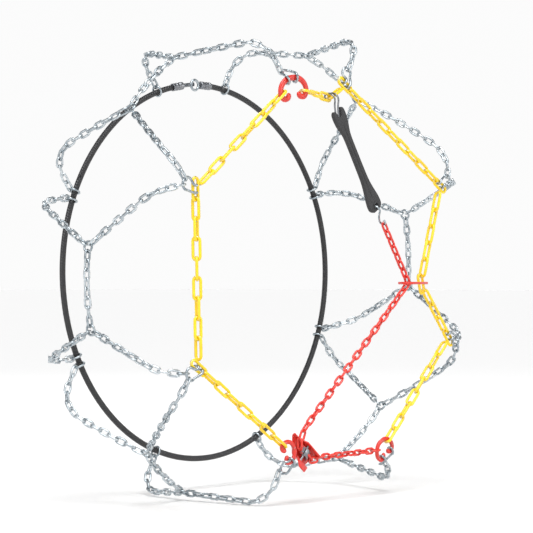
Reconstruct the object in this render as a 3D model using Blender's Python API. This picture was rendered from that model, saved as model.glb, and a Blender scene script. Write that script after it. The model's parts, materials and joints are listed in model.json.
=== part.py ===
"""Tyre snow chains: one ladder-net chain set, closed and tightened as it sits on a wheel.

The origin is the wheel's centre. The wheel's axle lies along Y, its outer face looks along -Y
and +Z is up, so the tyre itself is the free space inside the set.
"""

from math import cos, degrees, pi, radians, sin

import bmesh
import bpy
from mathutils import Matrix, Vector

# The tyre that the set is made for: 225/45 R17
TYRE_RADIUS = 0.317
CHAIN_LIFT = 0.005  # chain centre line above the rubber
SIDE_PLANE = 0.116  # chain centre line beside the tyre, from its middle plane
SHOULDER_RADIUS = 0.032
TREAD_HALF = SIDE_PLANE - SHOULDER_RADIUS
NET_RADIUS = TYRE_RADIUS + CHAIN_LIFT
FRONT_PLANE = -0.127  # the tensioning parts lie just outside the side chain
PIVOT_WORLD = {}  # each pivot's place, filled as they are made

# Stock: wire size, link width and pitch of the three chains
NET_WIRE, NET_WIDTH, NET_PITCH = 0.0032, 0.0095, 0.0125
SIDE_WIRE, SIDE_WIDTH, SIDE_PITCH = 0.0040, 0.0130, 0.0236
PULL_WIRE, PULL_WIDTH, PULL_PITCH = 0.0032, 0.0100, 0.0125
LINK_SHOULDER = 0.28  # share of a pitch over which one link's section passes into the next

# Where the net is tied to the side chain: angle from +X towards +Z, and radius
TIES = {
    "upper_left": (108.3, 0.251),
    "left": (157.8, 0.268),
    "lower_left": (206.7, 0.271),
    "bottom_left": (251.2, 0.254),
    "bottom_right": (293.7, 0.263),
    "lower_right": (340.5, 0.278),
    "right": (386.7, 0.272),
    "upper_right": (441.5, 0.253),
}

# Net cells: the two ties, the two tread joints' angles, how far inboard each joint lies, and
# whether the cell folds at its second tie, so that its strand there starts further away
CELLS = {
    "upper_left": ("upper_left", "left", (119.0, 139.5), (0.014, 0.005), True),
    "left": ("left", "lower_left", (174.7, 193.5), (0.002, 0.005), True),
    "lower_left": ("lower_left", "bottom_left", (227.3, 246.0), (0.003, 0.022), True),
    "lower_right": ("bottom_right", "lower_right", (304.0, 322.7), (0.022, 0.003), False),
    "right": ("lower_right", "right", (356.5, 375.3), (0.005, 0.002), False),
    "upper_right": ("right", "upper_right", (410.5, 431.0), (0.005, 0.014), False),
}

FOLD_REACH = SIDE_PITCH / 2  # a fold lies at the end of the tie's own link
FOLDS_TOWARDS = {"bottom_left": "lower_left", "lower_left": "left", "left": "upper_left"}
HOOP_RADIUS = 0.262  # cable hoop behind the tyre
HOOP_CABLE = 0.0040  # sheathed cable, radius
HOOP_FOLD = degrees(FOLD_REACH / HOOP_RADIUS)  # the same reach as an angle on the hoop
LEFT_FERRULE = (103.2, 98.8)  # crimped cable ends, as angles on the hoop
RIGHT_FERRULE = (86.8, 91.1)
EYE_ANGLE = 93.4
FERRULE_RADIUS = 0.0055
EYE_RADIUS, EYE_WIRE = 0.0072, 0.0018
HOOK_FLAT = (0.0016, 0.0030)  # half thickness and half width of the hoop's flat hook

TIE_LINK_WIRE = 0.0020  # radius
TIE_LINK_HALF = 0.0085
TIE_LINK_TOP = 0.0240
TIE_LINK_FOOT = 0.0050

TOUCH_GAP = 0.0005
SIDE_SETBACK = 0.0125  # side chain ends this far from a tie, where the tie link passes
HINGE_SETBACK = 0.0200  # and this far on the piece that swings
BRIDGE_GAP = 0.003
HOOP_GAP = 0.004
CRIMP_GAP = 0.0008
STRAND_START = TIE_LINK_TOP + TIE_LINK_WIRE + TOUCH_GAP + 0.002
STRAND_HINGE_START = 0.047
STRAND_HOOP_GAP = 0.003  # and this far outside the hoop
STRAND_SPREAD = 0.0058  # two strands at one tie start this far to either side

# Tightening parts, in the plane of the wheel's face: (X, Z)
KINK_TOP = (0.006, 0.231)  # the rubber's hook pulls the side chain in here
KINK_SIDE = (0.200, -0.016)  # the guide hook pulls it in here
CLOSING_CLAW = (-0.058, 0.2355)
CLOSING_HOOK_PIVOT = (-0.100, 0.229)
GUIDE_BEND = (0.159, -0.016)
TAIL_FOLD = (0.1521, -0.0056)  # one link past the guide, where the loose end swings
TAIL_GAPS = (0.002, 0.005)  # either side of that fold
LOCK_TOP = (-0.0570, -0.2070)
LOCK_SIDE = (-0.0270, -0.2455)
PULL_CHAIN_START = (0.084, -0.2435)
PULL_CHAIN_END = (0.106, 0.064)
STRAP_FOOT = (0.090, 0.083)
STRAP_HEAD = (0.008, 0.214)
STRAP_THICKNESS = 0.006
S_HOOK_WIRE = 0.0014  # radius
STRAP_HOOK_FLAT = (0.0045, 0.0012)  # half width and half thickness
GUIDE_FLAT = (0.0020, 0.0018)
STRAP_WAIST = (  # share of the strap's length, half width
    (0.0, 0.0085), (0.05, 0.0125), (0.12, 0.0115), (0.28, 0.0062),
    (0.72, 0.0056), (0.84, 0.0100), (0.95, 0.0120), (1.0, 0.0080),
)

# Flat hooks: lean in degrees, width, height and bar thickness
CLOSING_HOOK = (10.0, 0.050, 0.026, 0.0074)
TIGHTENER_CONNECTOR = (-62.0, 0.028, 0.020, 0.0056)
PULL_CHAIN_CONNECTOR = (30.0, 0.034, 0.022, 0.0056)
CONNECTOR_CENTRE = (-0.0865, -0.2340)
HOOK_DEPTH = 0.0050

# Side chain ends: this far short of the flat hooks and of the kink at the top
CLOSING_SETBACK, LOWER_SETBACK, RED_SETBACK = 0.026, 0.024, 0.021
KINK_SETBACK, CLAW_SETBACK = 0.008, 0.006

# The tightener: where its folded channel starts, how it leans, and the pawl inside it
LOCK_CORNER = (-0.0710, -0.2255)
LOCK_FLOOR = -0.1195
LOCK_LEAN = -40.0
LOCK_ENDS = ((0.0, 0.80), (0.040, -0.43))  # along the channel, and the slant of its cut
LOCK_FOLD = (  # across the channel, and up from its floor
    (-0.0100, 0.0135), (-0.0100, 0.0), (0.0100, 0.0), (0.0125, 0.0100), (0.0225, 0.0130),
)
LOCK_SHEET = 0.0020
PAWL_ALONG = 0.018
PAWL_LIFT = 0.0085
PAWL_HALF_WIDTH = 0.0055
PIN_HALF = 0.0015
SPRING_OFFSET, SPRING_HALF, SPRING_RADIUS = 0.0045, 0.0050, 0.0016

OUTWARD = Vector((0, -1, 0))


def clear_scene():
    for obj in list(bpy.data.objects):
        bpy.data.objects.remove(obj, do_unlink=True)


def material(name, colour, roughness, metallic):
    """A plain finish, made once and shared by every piece of that stock."""
    made = bpy.data.materials.get(name)
    if made is None:
        made = bpy.data.materials.new(name)
        made.use_nodes = True
        shader = made.node_tree.nodes["Principled BSDF"]
        shader.inputs["Base Color"].default_value = (*colour, 1.0)
        shader.inputs["Roughness"].default_value = roughness
        shader.inputs["Metallic"].default_value = metallic
    return made


def galvanised():
    return material("galvanised", (0.62, 0.66, 0.68), 0.35, 0.9)


def yellow_lacquer():
    return material("yellow_lacquer", (0.92, 0.62, 0.02), 0.4, 0.1)


def red_lacquer():
    return material("red_lacquer", (0.78, 0.06, 0.04), 0.4, 0.1)


def black_rubber():
    return material("black_rubber", (0.02, 0.02, 0.02), 0.7, 0.0)


def grey_steel():
    return material("grey_steel", (0.45, 0.46, 0.48), 0.35, 0.9)


def cable_sheath():
    return material("cable_sheath", (0.03, 0.03, 0.035), 0.5, 0.0)


def face_point(flat, depth=FRONT_PLANE):
    """A point given in the plane of the wheel's face, at a depth along Y."""
    return Vector((flat[0], depth, flat[1]))


def polar(angle, radius, depth):
    """A point at an angle in degrees in the wheel's plane, at a depth along the axle."""
    turn = radians(angle)
    return Vector((radius * cos(turn), depth, radius * sin(turn)))


def over_tyre(arc, angle):
    """Point and outward normal on the chain's surface; arc is counted from the tread's middle,
    negative towards the wheel's outer face."""
    side = -1.0 if arc < 0 else 1.0
    run = abs(arc)
    bend_length = SHOULDER_RADIUS * pi / 2
    if run <= TREAD_HALF:
        lean, depth, radius = 0.0, run, NET_RADIUS
    elif run <= TREAD_HALF + bend_length:
        lean = (run - TREAD_HALF) / SHOULDER_RADIUS
        depth = TREAD_HALF + SHOULDER_RADIUS * sin(lean)
        radius = NET_RADIUS - SHOULDER_RADIUS * (1 - cos(lean))
    else:
        lean, depth = pi / 2, SIDE_PLANE
        radius = NET_RADIUS - SHOULDER_RADIUS - (run - TREAD_HALF - bend_length)
    normal = polar(angle, cos(lean), side * sin(lean))
    return polar(angle, radius, side * depth), normal


def arc_at_radius(radius):
    """Arc from the tread's middle down to a radius on the flat sidewall."""
    return TREAD_HALF + SHOULDER_RADIUS * pi / 2 + (NET_RADIUS - SHOULDER_RADIUS - radius)


def add_object(name, bm, finish):
    bmesh.ops.recalc_face_normals(bm, faces=bm.faces)
    mesh = bpy.data.meshes.new(name)
    bm.to_mesh(mesh)
    bm.free()
    mesh.materials.append(finish)
    obj = bpy.data.objects.new(name, mesh)
    bpy.context.scene.collection.objects.link(obj)
    return obj


def loft(name, rings, finish, loop=False):
    """One closed skin through a row of cross-sections, capped at both ends or joined up."""
    bm = bmesh.new()
    rows = [[bm.verts.new(p) for p in ring] for ring in rings]
    count = len(rows[0])
    pairs = list(zip(rows, rows[1:]))
    if loop:
        pairs.append((rows[-1], rows[0]))
    for row, following in pairs:
        for i in range(count):
            j = (i + 1) % count
            bm.faces.new((row[i], row[j], following[j], following[i]))
    if not loop:
        bm.faces.new(rows[0][::-1])
        bm.faces.new(rows[-1])
    return add_object(name, bm, finish)


def resample(points, stations):
    """Points and directions at the given distances along a row of points."""
    lengths = [0.0]
    for a, b in zip(points, points[1:]):
        lengths.append(lengths[-1] + (b - a).length)
    found = []
    for station in stations:
        i = 0
        while i < len(lengths) - 2 and lengths[i + 1] < station:
            i += 1
        share = (station - lengths[i]) / (lengths[i + 1] - lengths[i])
        found.append((points[i].lerp(points[i + 1], share), i, share))
    return found


def path_length(points):
    return sum((b - a).length for a, b in zip(points, points[1:]))


def shorten(points, start, end):
    """The same row of points, cut back from both ends."""
    total = path_length(points)
    first, i, _ = resample(points, [start])[0]
    last, j, _ = resample(points, [total - end])[0]
    middle = points[i + 1 : j + 1]
    kept = [p for p in middle if (p - first).length > 1e-6 and (p - last).length > 1e-6]
    return [first, *kept, last]


def chain_run(name, points, normals, stock, finish, roll=0.0):
    """A taut chain as one beaded bar: the section turns a quarter from each link to the next.

    normals gives the direction away from the surface at each point; roll turns the links
    about the chain's own direction."""
    wire, width, pitch = stock
    total = path_length(points)
    links = max(1, round(total / pitch))
    marks = [(0.0, 0)]
    for i in range(links):
        marks.append(((i + LINK_SHOULDER) * total / links, i))
        marks.append(((i + 1 - LINK_SHOULDER) * total / links, i))
    marks.append((total, links - 1))
    spots = resample(points, [m[0] for m in marks])
    rings = []
    for n, (spot, i, share) in enumerate(spots):
        before = spots[max(n - 1, 0)][0]
        after = spots[min(n + 1, len(spots) - 1)][0]
        along = (after - before).normalized()
        up = normals[i].lerp(normals[min(i + 1, len(normals) - 1)], share)
        up = (up - along * up.dot(along)).normalized()
        up = Matrix.Rotation(roll, 3, along) @ up
        across = along.cross(up)
        lying = marks[n][1] % 2 == 0
        half_across = (width if lying else wire) / 2
        half_up = (wire if lying else width) / 2
        corners = ((1, 1), (-1, 1), (-1, -1), (1, -1))
        rings.append([spot + across * half_across * a + up * half_up * b for a, b in corners])
    return loft(name, rings, finish)


def bar(name, points, up, half_width, half_height, finish, sides=4, loop=False):
    """A bent bar or wire: up is square to the plane in which it is bent."""
    rings = []
    last = len(points) - 1
    for n, spot in enumerate(points):
        if loop:
            before, after = points[n - 1], points[(n + 1) % len(points)]
        else:
            before, after = points[max(n - 1, 0)], points[min(n + 1, last)]
        along = (after - before).normalized()
        across = along.cross(up).normalized()
        ring = []
        for k in range(sides):
            turn = 2 * pi * (k + 0.5) / sides
            stretch = 2**0.5 if sides == 4 else 1.0
            ring.append(
                spot
                + across * half_width * cos(turn) * stretch
                + up * half_height * sin(turn) * stretch
            )
        rings.append(ring)
    return loft(name, rings, finish, loop)


def local_points(origin, along, out, flat_points):
    """Points given as (along, out) pairs in a plane through origin."""
    return [origin + along * a + out * b for a, b in flat_points]


def arc_points(centre, radius, start, end, count):
    """Points on an arc, in flat coordinates, from one angle to another in degrees."""
    turns = [radians(start + (end - start) * k / count) for k in range(count + 1)]
    return [(centre[0] + radius * cos(t), centre[1] + radius * sin(t)) for t in turns]


def tie_point(name, depth=-SIDE_PLANE):
    return polar(*TIES[name], depth)


def strand_path(tie, joint_angle, joint_arc, side, start):
    """One net strand from a tie to a tread joint: straight when the tyre's skin is unrolled."""
    tie_angle, tie_radius = TIES[tie]
    edge = arc_at_radius(tie_radius if side < 0 else HOOP_RADIUS)
    first, last = side * (edge - start), joint_arc
    towards = 1 if joint_angle > tie_angle else -1
    tie_angle += towards * degrees(STRAND_SPREAD / HOOP_RADIUS)
    steps = 16
    points, normals = [], []
    for k in range(steps + 1):
        share = k / steps
        spot, normal = over_tyre(
            first + (last - first) * share,
            tie_angle + (joint_angle - tie_angle) * share,
        )
        points.append(spot)
        normals.append(normal)
    return points, normals


def trim_start(points, normals, centre, distance):
    """Drop the points nearer to a centre than a distance."""
    while (points[0] - centre).length < distance:
        points.pop(0)
        normals.pop(0)
    return points, normals


def cross_chain(name, tie, joint_angle, joint_depth, hinged):
    """Outer strand, tread joint and inner strand of one cross chain, in one beaded bar."""
    outer, outer_normals = strand_path(tie, joint_angle, joint_depth, -1, STRAND_START)
    inner, inner_normals = strand_path(tie, joint_angle, joint_depth, 1, HOOP_CABLE + STRAND_HOOP_GAP)
    if hinged:
        centre = tie_point(tie)
        outer, outer_normals = trim_start(outer, outer_normals, centre, STRAND_HINGE_START)
        centre = polar(TIES[tie][0], HOOP_RADIUS, SIDE_PLANE)
        inner, inner_normals = trim_start(inner, inner_normals, centre, STRAND_HINGE_START)
    points = outer + inner[-2::-1]
    normals = outer_normals + inner_normals[-2::-1]
    stock = (NET_WIRE, NET_WIDTH, NET_PITCH)
    return chain_run(name, points, normals, stock, galvanised(), roll=pi / 4)


def bridge_chain(name, angles, depths):
    """The short chain along the tread between a cell's two joints."""
    steps = 8
    points, normals = [], []
    for k in range(steps + 1):
        share = k / steps
        spot, normal = over_tyre(
            depths[0] + (depths[1] - depths[0]) * share,
            angles[0] + (angles[1] - angles[0]) * share,
        )
        points.append(spot)
        normals.append(normal)
    setback = NET_WIDTH / 2 + BRIDGE_GAP
    points = [points[0].lerp(points[1], setback / (points[1] - points[0]).length), *points[1:]]
    points[-1] = points[-1].lerp(points[-2], setback / (points[-1] - points[-2]).length)
    stock = (NET_WIRE, NET_WIDTH, NET_PITCH)
    return chain_run(name, points, normals, stock, galvanised(), roll=pi / 4)


def net_cell(cell):
    first, second, angles, depths, hinged = CELLS[cell]
    cross_chain(f"cross_chain_{cell}_a", first, angles[0], depths[0], False)
    cross_chain(f"cross_chain_{cell}_b", second, angles[1], depths[1], hinged)
    bridge_chain(f"bridge_chain_{cell}", angles, depths)


def side_chain(name, spots, start, end):
    """A stretch of the yellow side chain through ties and flat points on the tyre's side."""
    flat = [flat_tie(s) if isinstance(s, str) else s for s in spots]
    points = [face_point(s, -SIDE_PLANE) for s in flat]
    points = shorten(points, start, end)
    normals = [OUTWARD] * len(points)
    stock = (SIDE_WIRE, SIDE_WIDTH, SIDE_PITCH)
    return chain_run(name, points, normals, stock, yellow_lacquer())


def lock_pin_axis():
    """The pawl's pin: its middle, and its direction across the channel."""
    axis = polar(LOCK_LEAN, 1.0, 0.0)
    across = polar(LOCK_LEAN - 90, 1.0, 0.0)
    floor = face_point(LOCK_CORNER, LOCK_FLOOR)
    return floor + axis * PAWL_ALONG + Vector((0, -PAWL_LIFT, 0)), across


def flat_tie(name):
    spot = tie_point(name)
    return (spot.x, spot.z)


def pull_chain(name, spots, start, end):
    """A stretch of the red pulling chain, across the wheel's face."""
    points = shorten([face_point(s) for s in spots], start, end)
    normals = [OUTWARD] * len(points)
    stock = (PULL_WIRE, PULL_WIDTH, PULL_PITCH)
    return chain_run(name, points, normals, stock, red_lacquer())


def tie_link(tie):
    """The bow-shaped link that ties the net to the side chain."""
    tie_angle = TIES[tie][0]
    out = polar(tie_angle, 1.0, 0.0)
    along = polar(tie_angle + 90, 1.0, 0.0)
    bow = arc_points((0, TIE_LINK_TOP - TIE_LINK_HALF), TIE_LINK_HALF, 0, 180, 6)
    feet = [(-TIE_LINK_HALF, -TIE_LINK_FOOT), (TIE_LINK_HALF, -TIE_LINK_FOOT)]
    points = local_points(tie_point(tie), along, out, bow + feet)
    return bar(
        f"tie_link_{tie}",
        points,
        Vector((0, 1, 0)),
        TIE_LINK_WIRE,
        TIE_LINK_WIRE,
        galvanised(),
        6,
        loop=True,
    )


def omega_hook(name, centre, lean, width, height, thick):
    """A flat C-shaped hook: an arch with a claw curled in at each end."""
    along = polar(lean, 1.0, 0.0)
    out = polar(lean + 90, 1.0, 0.0)
    half, rise = width / 2, height
    curl = rise * 0.32
    arch = [
        (-half + curl * 1.7, -rise * 0.42),
        (-half + curl * 0.6, -rise * 0.5),
        (-half, -rise * 0.2),
        (-half * 0.86, rise * 0.18),
        (-half * 0.45, rise * 0.45),
        (0.0, rise * 0.5),
        (half * 0.45, rise * 0.45),
        (half * 0.86, rise * 0.18),
        (half, -rise * 0.2),
        (half - curl * 0.6, -rise * 0.5),
        (half - curl * 1.7, -rise * 0.42),
    ]
    points = local_points(face_point(centre), along, out, arch)
    return bar(name, points, Vector((0, 1, 0)), thick / 2, HOOK_DEPTH / 2, red_lacquer())


def hoop_stretch(name, start, end, start_gap, end_gap):
    """Part of the cable hoop behind the tyre, from one angle to another."""
    first = start + degrees(start_gap / HOOP_RADIUS)
    last = end - degrees(end_gap / HOOP_RADIUS)
    count = max(4, round(abs(last - first) / 7))
    points = [
        polar(first + (last - first) * k / count, HOOP_RADIUS, SIDE_PLANE)
        for k in range(count + 1)
    ]
    up = Vector((0, 1, 0))
    return bar(name, points, up, HOOP_CABLE, HOOP_CABLE, cable_sheath(), 6)


def hoop_coupling():
    """Crimped ends of the hoop: a hook on one end drops into an eye on the other."""
    up = Vector((0, 1, 0))
    for name, (start, end) in (
        ("hoop_ferrule_left", LEFT_FERRULE),
        ("hoop_ferrule_right", RIGHT_FERRULE),
    ):
        points = [polar(start + (end - start) * k / 2, HOOP_RADIUS, SIDE_PLANE) for k in range(3)]
        bar(name, points, up, FERRULE_RADIUS, FERRULE_RADIUS, grey_steel(), 8)
    centre = polar(EYE_ANGLE, HOOP_RADIUS, SIDE_PLANE)
    along = polar(EYE_ANGLE + 90, 1.0, 0.0)
    out = polar(EYE_ANGLE, 1.0, 0.0)
    ring = local_points(centre, along, out, arc_points((0, 0), EYE_RADIUS, 0, 315, 7))
    bar("hoop_eye", ring, up, EYE_WIRE, EYE_WIRE, grey_steel(), 6, True)
    root_angle = LEFT_FERRULE[1] - 0.2
    root = polar(root_angle, HOOP_RADIUS, SIDE_PLANE)
    along = polar(root_angle - 90, 1.0, 0.0)
    shank = [(0.0, 0.0), (0.0045, 0.0), (0.0105, 0.0062), (0.0270, 0.0062), (0.0290, 0.0075)]
    out = polar(root_angle, 1.0, 0.0)
    bar("hoop_hook", local_points(root, along, up, shank), out, *HOOK_FLAT, grey_steel())


def thicken(line, sheet):
    """The outline of a folded sheet from its bend line."""
    offset = []
    for n, spot in enumerate(line):
        here = Vector(spot)
        first = here - Vector(line[n - 1]) if n else Vector(line[1]) - here
        second = Vector(line[n + 1]) - here if n < len(line) - 1 else first
        first.normalize()
        second.normalize()
        square = Vector((-first.y, first.x))
        bisector = (square + Vector((-second.y, second.x))).normalized()
        offset.append(here + bisector * (sheet / bisector.dot(square)))
    return [tuple(p) for p in line] + [tuple(p) for p in reversed(offset)]


def lock():
    """Self-locking tightener: a folded steel channel with a sprung pawl on a pin inside it.

    The channel slopes down to the right. The chain enters at its top end, turns round in it
    and leaves at its lower right end."""
    up = OUTWARD
    axis = polar(LOCK_LEAN, 1.0, 0.0)
    across = polar(LOCK_LEAN - 90, 1.0, 0.0)
    origin = face_point(LOCK_CORNER, LOCK_FLOOR)
    outline = thicken(LOCK_FOLD, -LOCK_SHEET)
    rings = [
        [origin + axis * (along + slant * a) + across * a + up * b for a, b in outline]
        for along, slant in LOCK_ENDS
    ]
    loft("lock_housing", rings, red_lacquer())
    pin_spot, across = lock_pin_axis()
    half_pin = across * (LOCK_FOLD[2][0] - LOCK_SHEET - TOUCH_GAP)
    bar("lock_pin", [pin_spot - half_pin, pin_spot + half_pin], up, PIN_HALF, PIN_HALF,
        grey_steel(), 8)
    half_pawl = across * PAWL_HALF_WIDTH
    clear = PIN_HALF * 1.2 + TOUCH_GAP
    profile = [
        (clear, -0.0012), (clear + 0.0012, 0.0022), (0.0085, 0.0012),
        (0.0125, -0.0042), (0.0105, -0.0052), (0.0070, -0.0022),
    ]
    rings = [
        [pin_spot + side + axis * a + up * b for a, b in profile]
        for side in (-half_pawl, half_pawl)
    ]
    loft("lock_pawl", rings, grey_steel())
    coil_spot = pin_spot - axis * SPRING_OFFSET
    spring = [coil_spot + across * s for s in (-SPRING_HALF, SPRING_HALF)]
    bar("lock_spring", spring, up, SPRING_RADIUS, SPRING_RADIUS, galvanised(), 8)


def strap():
    """The rubber tensioning strap: broad at both ends, slim in the middle."""
    foot, head = face_point(STRAP_FOOT), face_point(STRAP_HEAD)
    along = (head - foot).normalized()
    across = along.cross(Vector((0, 1, 0)))
    up = OUTWARD * STRAP_THICKNESS / 2
    length = (head - foot).length
    rings = []
    for share, half in STRAP_WAIST:
        spot = foot + along * length * share
        corners = ((1, 1), (-1, 1), (-1, -1), (1, -1))
        rings.append([spot + across * half * a + up * b for a, b in corners])
    return loft("rubber_strap", rings, black_rubber())


def strap_hooks():
    """The S-hook at the strap's foot and the flat hook at its head."""
    up = OUTWARD
    foot = face_point(STRAP_FOOT)
    chain_end = face_point(PULL_CHAIN_END)
    along = (foot - chain_end).normalized()
    out = along.cross(up)
    gap = (foot - chain_end).length
    curve = [
        (0.0045, -0.0034), (0.0030, 0.0), (0.0060, 0.0034), (0.0100, 0.0020),
        (0.0130, -0.0020), (gap - 0.0056, -0.0034), (gap - 0.0030, 0.0), (gap - 0.0046, 0.0034),
    ]
    bar("s_hook", local_points(chain_end, along, out, curve), up, S_HOOK_WIRE, S_HOOK_WIRE, galvanised(), 6)
    head = face_point(STRAP_HEAD)
    top = face_point(KINK_TOP)
    along = (top - head).normalized()
    out = along.cross(up)
    reach = (top - head).length
    curve = [(0.0030, 0.0), (reach * 0.5, 0.0), (reach + 0.002, 0.0), (reach + 0.006, 0.003)]
    bar("strap_hook", local_points(head, along, out, curve), up, *STRAP_HOOK_FLAT, grey_steel())


def guide_hook():
    """The double hook that leads the pulling chain and holds it out at the side chain."""
    bend = face_point(GUIDE_BEND)
    kink = face_point(KINK_SIDE, -SIDE_PLANE)
    along = Vector((1, 0, 0))
    out = Vector((0, -1, 0))
    reach = kink.x - bend.x
    rise = bend.y - kink.y
    curve = [
        (-0.0040, -0.0105), (-0.0115, -0.0090), (-0.0155, 0.0), (-0.0115, 0.0090),
        (0.0, 0.0105), (reach * 0.5, 0.0070), (reach * 0.85, 0.0040), (reach + 0.0075, 0.0),
        (reach + 0.0105, rise - 0.0020), (reach + 0.0095, rise - 0.0105),
        (reach + 0.0030, rise - 0.0120),
    ]
    points = local_points(bend, along, out, curve)
    bar("guide_hook", points, Vector((0, 0, 1)), *GUIDE_FLAT, red_lacquer())


def fold_place(tie):
    """Where the net folds beside a tie: the end of the side chain's link that the tie holds."""
    here, there = tie_point(tie), tie_point(FOLDS_TOWARDS[tie])
    return here + (there - here).normalized() * FOLD_REACH


def fold_direction(tie):
    """The fold's axis runs from the hoop behind the tyre to the side chain in front."""
    hoop_point = polar(TIES[tie][0] - HOOP_FOLD, HOOP_RADIUS, SIDE_PLANE)
    return (fold_place(tie) - hoop_point).normalized()


def pivot(name, place, direction, parent, pieces):
    """An empty on a joint's axis, its Z along the axis, carrying the pieces that turn on it."""
    empty = bpy.data.objects.new(name, None)
    empty.empty_display_size = 0.02
    bpy.context.scene.collection.objects.link(empty)
    turn = direction.to_track_quat("Z", "Y").to_matrix().to_4x4()
    world = Matrix.Translation(place) @ turn
    empty.matrix_basis = PIVOT_WORLD[parent].inverted() @ world if parent else world
    if parent:
        empty.parent = bpy.data.objects[parent]
    PIVOT_WORLD[name] = world
    for piece in pieces:
        obj = bpy.data.objects[piece]
        obj.parent = empty
        obj.matrix_parent_inverse = world.inverted()


def cell_pieces(cell, tie):
    return [
        f"cross_chain_{cell}_a", f"cross_chain_{cell}_b", f"bridge_chain_{cell}",
        f"tie_link_{tie}", f"side_chain_{cell}", f"hoop_{cell}",
    ]


def hang_on_pivots():
    """Parent every piece that moves to an empty on its joint's axis."""
    parent = None
    for cell, tie, far_tie in (
        ("lower_left", "bottom_left", "lower_left"),
        ("left", "lower_left", "left"),
        ("upper_left", "left", "upper_left"),
    ):
        name = f"pivot_{cell}_net"
        pieces = cell_pieces(cell, far_tie)
        if cell == "upper_left":
            pieces += ["hoop_ferrule_left", "hoop_hook"]
        pivot(name, fold_place(tie), fold_direction(tie), parent, pieces)
        parent = name
    pivot("pivot_closing_hook", face_point(CLOSING_HOOK_PIVOT), OUTWARD, parent, ["closing_hook"])
    top = face_point(KINK_TOP, -SIDE_PLANE)
    pivot("pivot_closing_chain", top, OUTWARD, None, ["closing_chain"])
    hoop_fold = polar(TIES["upper_right"][0] + HOOP_FOLD, HOOP_RADIUS, SIDE_PLANE)
    hoop_end = ["hoop_top", "hoop_ferrule_right", "hoop_eye"]
    pivot("pivot_hoop_end", hoop_fold, -OUTWARD, None, hoop_end)
    side = face_point(KINK_SIDE, -SIDE_PLANE)
    pivot("pivot_guide_hook", side, OUTWARD, None, ["guide_hook"])
    tail, hook, strap_end = "pivot_pull_tail", "pivot_s_hook", "pivot_strap"
    pivot(tail, face_point(TAIL_FOLD), OUTWARD, None, ["pull_chain_end"])
    pivot(hook, face_point(PULL_CHAIN_END), OUTWARD, tail, ["s_hook"])
    pivot(strap_end, face_point(STRAP_FOOT), OUTWARD, hook, ["rubber_strap", "strap_hook"])
    pin, across = lock_pin_axis()
    pivot("pivot_lock_pawl", pin, -across, None, ["lock_pawl"])


def build():
    clear_scene()
    for cell in CELLS:
        net_cell(cell)
    for tie in TIES:
        tie_link(tie)

    swing, fixed = HINGE_SETBACK, SIDE_SETBACK
    side_chain("side_chain_upper_left", ["upper_left", "left"], CLOSING_SETBACK, swing)
    side_chain("side_chain_left", ["left", "lower_left"], fixed, swing)
    side_chain("side_chain_lower_left", ["lower_left", "bottom_left"], fixed, LOWER_SETBACK)
    side_chain("side_chain_lower_right", ["bottom_right", "lower_right"], RED_SETBACK, fixed)
    side_chain("side_chain_right", ["lower_right", KINK_SIDE, "right"], fixed, fixed)
    side_chain("side_chain_upper_right", ["right", "upper_right"], fixed, fixed)
    side_chain("side_chain_top", ["upper_right", KINK_TOP], fixed, KINK_SETBACK)
    side_chain("closing_chain", [KINK_TOP, CLOSING_CLAW], KINK_SETBACK, CLAW_SETBACK)

    omega_hook("closing_hook", flat_tie("upper_left"), *CLOSING_HOOK)
    omega_hook("tightener_connector", CONNECTOR_CENTRE, *TIGHTENER_CONNECTOR)
    omega_hook("pull_chain_connector", flat_tie("bottom_right"), *PULL_CHAIN_CONNECTOR)
    lock()
    guide_hook()
    pull_chain("pull_chain_lower", [LOCK_SIDE, PULL_CHAIN_START], 0.0, 0.0)
    pull_chain("pull_chain_long", [LOCK_TOP, GUIDE_BEND, TAIL_FOLD], 0.0, TAIL_GAPS[0])
    pull_chain("pull_chain_end", [TAIL_FOLD, PULL_CHAIN_END], TAIL_GAPS[1], 0.0)
    strap()
    strap_hooks()

    folds = [TIES[tie][0] - HOOP_FOLD for tie in ("left", "lower_left", "bottom_left")]
    top_fold = TIES["upper_right"][0] + HOOP_FOLD
    crimp = CRIMP_GAP
    hoop_stretch("hoop_upper_left", LEFT_FERRULE[0], folds[0], crimp, HOOP_GAP)
    hoop_stretch("hoop_left", folds[0], folds[1], HOOP_GAP, HOOP_GAP)
    hoop_stretch("hoop_lower_left", folds[1], folds[2], HOOP_GAP, HOOP_GAP)
    hoop_stretch("hoop_right", folds[2], top_fold, HOOP_GAP, HOOP_GAP)
    hoop_stretch("hoop_top", top_fold - 360, RIGHT_FERRULE[0], HOOP_GAP, crimp)
    hoop_coupling()
    hang_on_pivots()


build()
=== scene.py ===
import json
import random
from math import ceil, cos, pi, radians, sin, sqrt

import bmesh
import bpy
from bmesh.types import BMEdge, BMFace, BMVert
from mathutils import Matrix, Vector


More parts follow.
